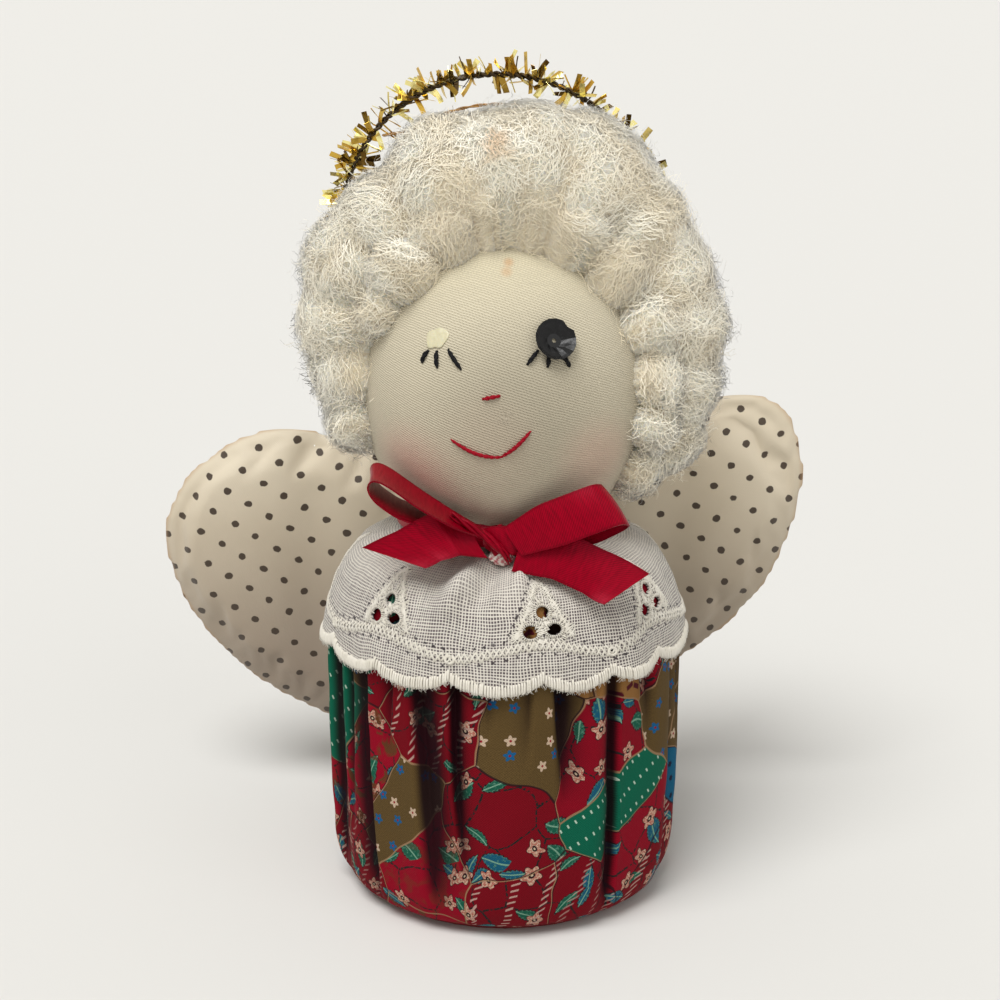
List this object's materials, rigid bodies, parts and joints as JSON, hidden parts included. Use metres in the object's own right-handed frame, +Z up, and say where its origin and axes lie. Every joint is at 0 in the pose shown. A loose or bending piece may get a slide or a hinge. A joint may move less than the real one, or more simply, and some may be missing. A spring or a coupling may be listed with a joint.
{
  "type": "angel ornament",
  "caption": "Sewn angel doll on a card tube, with stuffed turning head, curly hair, tilting tinsel halo, padded wings, lace collar and ribbon bow, standing on a flat base",
  "frame": {"origin": "the middle of the flat underside of the base cover", "axes": "+Z up through the middle of the body and head, the face looks along -Y, +X to the viewer's right of the face"},
  "size_m": [0.1013, 0.0616, 0.1187],
  "materials": {
    "felt": "matte pressed felt",
    "card": "plain brown card",
    "wadding": "loose white fibre",
    "printed_cotton": "matte printed cotton, red, teal, green and olive patches",
    "white_lace": "open plain weave with stitched eyelets and edge",
    "cream_knit": "fine ribbed cotton",
    "cream_sateen": "smooth cotton sateen with small brown dots",
    "white_thread": "twisted cotton thread",
    "black_thread": "twisted cotton thread",
    "red_thread": "stranded embroidery thread",
    "white_hair": "glossy curled synthetic fibre",
    "red_satin": "satin ribbon",
    "black_sequin": "gloss faceted film",
    "dried_glue": "yellowed clear glue",
    "gold_foil": "metallised gold film on a twisted core"
  },
  "bodies": {
    "body": {"base_cover": "felt", "base_card": "card", "body_tube": "card", "body_filling": "wadding", "dress": "printed_cotton", "dress_neck_thread": "white_thread", "dress_hem_thread": "white_thread", "lace_collar": "white_lace", "collar_thread": "white_thread", "wing_tack": "white_thread", "neck_ribbon": "red_satin", "bow_knot": "red_satin", "bow_tail_left": "red_satin", "bow_tail_right": "red_satin", "bow_loop_left": "red_satin", "bow_loop_right": "red_satin", "glue_drop": "dried_glue"},
    "head": {"head_cover": "cream_knit", "head_filling": "wadding", "head_neck_thread": "white_thread", "eye_sequin": "black_sequin", "eye_glue_mark": "dried_glue", "lash_left_outer": "black_thread", "lash_left_middle": "black_thread", "lash_left_inner": "black_thread", "lash_right_inner": "black_thread", "lash_right_middle": "black_thread", "lash_right_outer": "black_thread", "nose_stitch": "red_thread", "mouth_stitch_left": "red_thread", "mouth_stitch_right": "red_thread", "hair_fringe_left": "white_hair", "hair_fringe_right": "white_hair", "hair_temple_right": "white_hair", "hair_lock_right": "white_hair", "hair_side_left": "white_hair", "hair_side_right": "white_hair", "hair_crown": "white_hair", "hair_back": "white_hair", "halo_tack": "white_thread"},
    "halo": {"halo_tinsel": "gold_foil", "halo_second_lap": "gold_foil"},
    "wings": {"wing_front_panel": "cream_sateen", "wing_back_panel": "cream_sateen", "wing_filling": "wadding"}
  },
  "joints": [
    {"name": "head_turn", "type": "hinge", "parent": "body", "child": "head", "pos_m": [0, 0, 0.053], "axis": [0, 0, 1], "range_deg": [-12, 12], "stiffness_Nm_per_rad": 0.004},
    {"name": "halo_tilt", "type": "hinge", "parent": "head", "child": "halo", "pos_m": [-0.0011, 0.02674, 0.0705], "axis": [1, 0, 0], "range_deg": [-30, 0]},
    {"name": "wing_lift", "type": "hinge", "parent": "body", "child": "wings", "pos_m": [0, 0.02644, 0.042], "axis": [1, 0, 0], "range_deg": [0, 15]}
  ]
}
